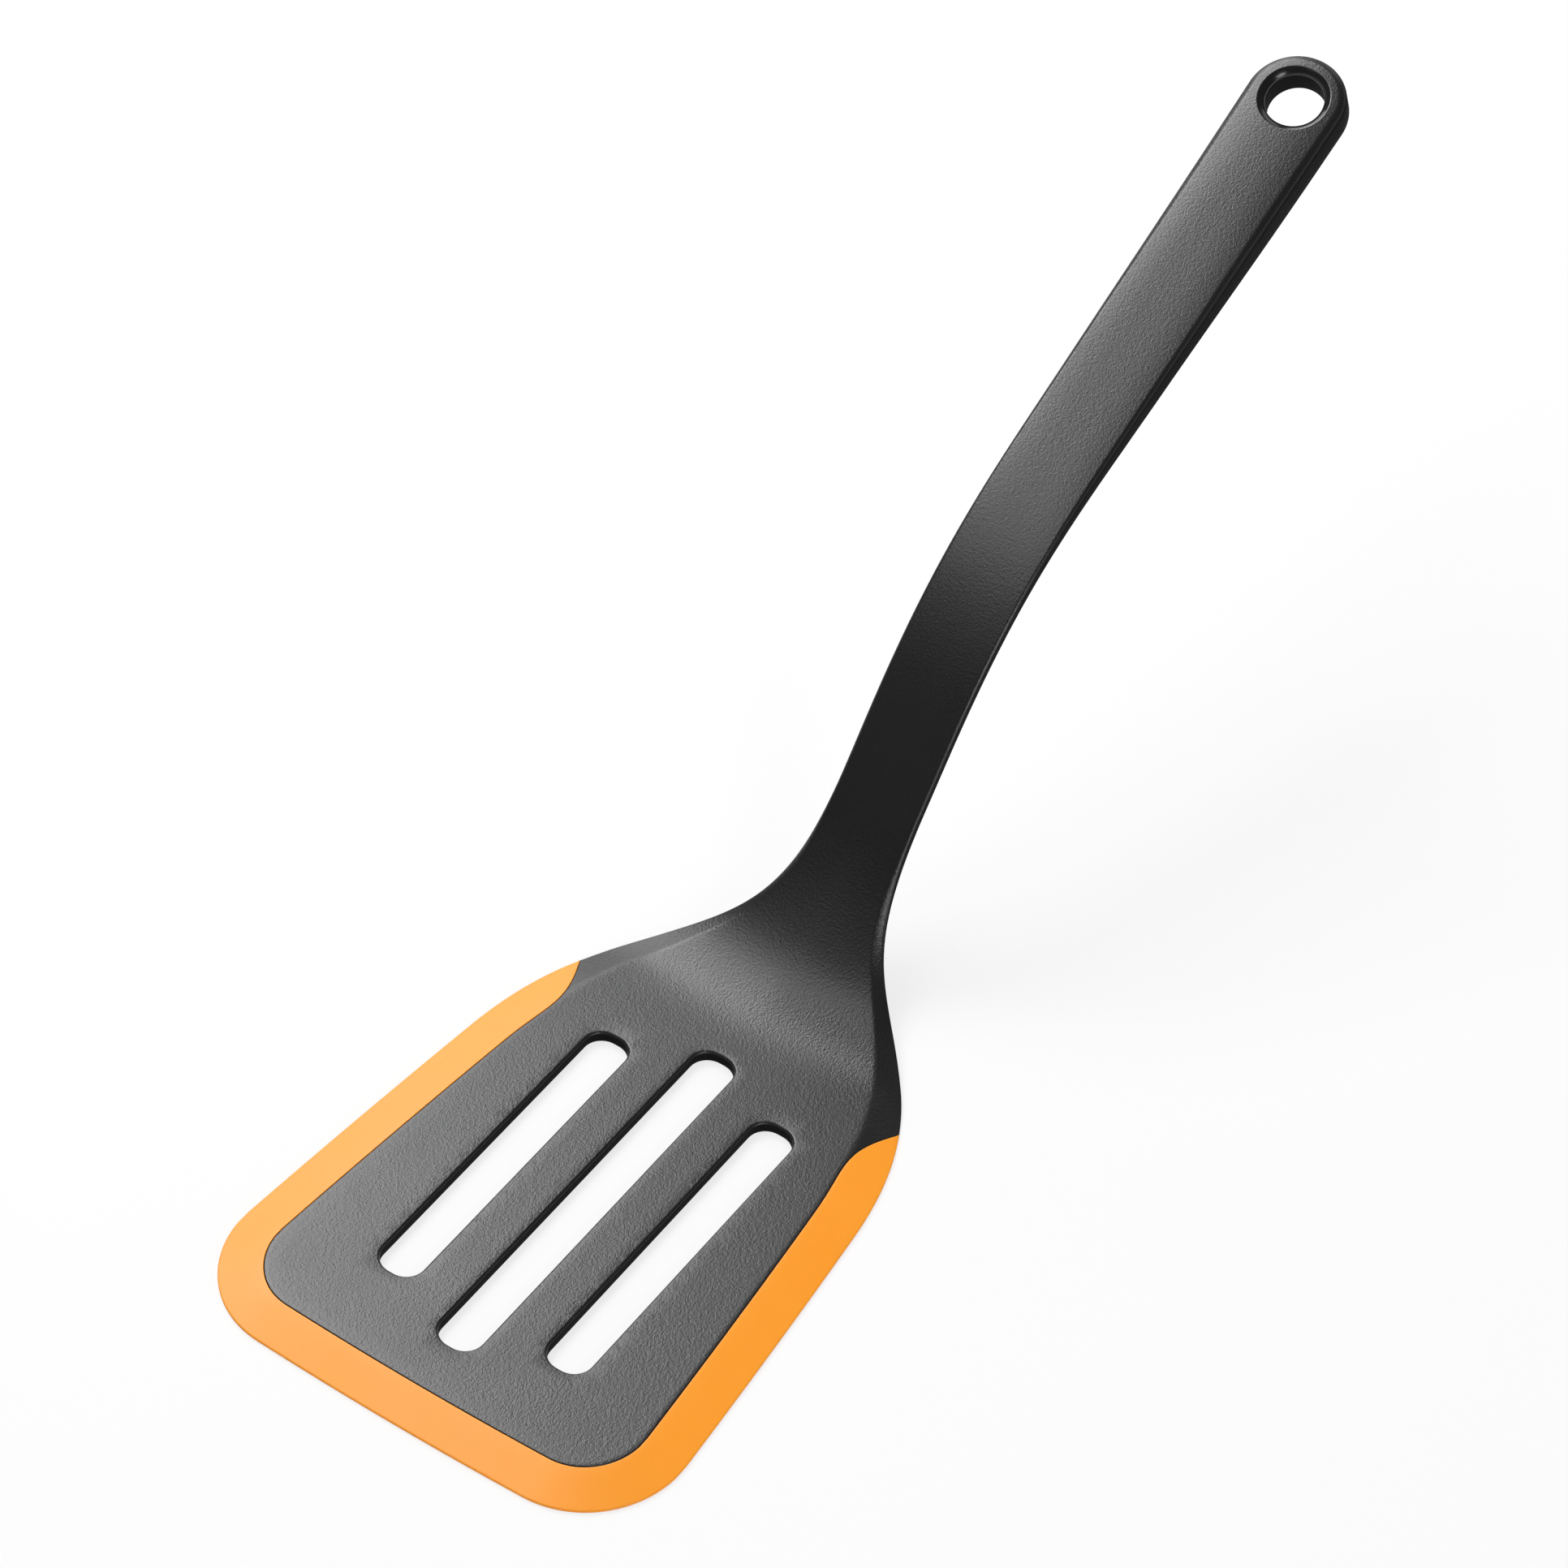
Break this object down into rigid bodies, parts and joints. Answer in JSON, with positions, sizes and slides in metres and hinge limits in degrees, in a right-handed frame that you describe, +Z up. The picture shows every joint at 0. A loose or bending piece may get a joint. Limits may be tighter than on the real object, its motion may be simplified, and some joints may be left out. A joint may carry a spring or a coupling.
{
  "type": "kitchen spatula",
  "caption": "Slotted kitchen spatula with a rising nylon handle, a hanging hole and a soft orange silicone lip round the blade, for turning and lifting food.",
  "frame": {"origin": "on the surface that the blade lies on, under the middle of the overall length and width", "axes": "+X along the spatula from the blade's front edge to the end of the handle, +Y across the blade, +Z up from the surface"},
  "size_m": [0.2786, 0.09, 0.1096],
  "materials": {
    "nylon": "fine-grained matt black",
    "silicone": "smooth matt orange"
  },
  "bodies": {
    "root": {"nylon_body": "nylon", "silicone_lip": "silicone"}
  },
  "joints": []
}
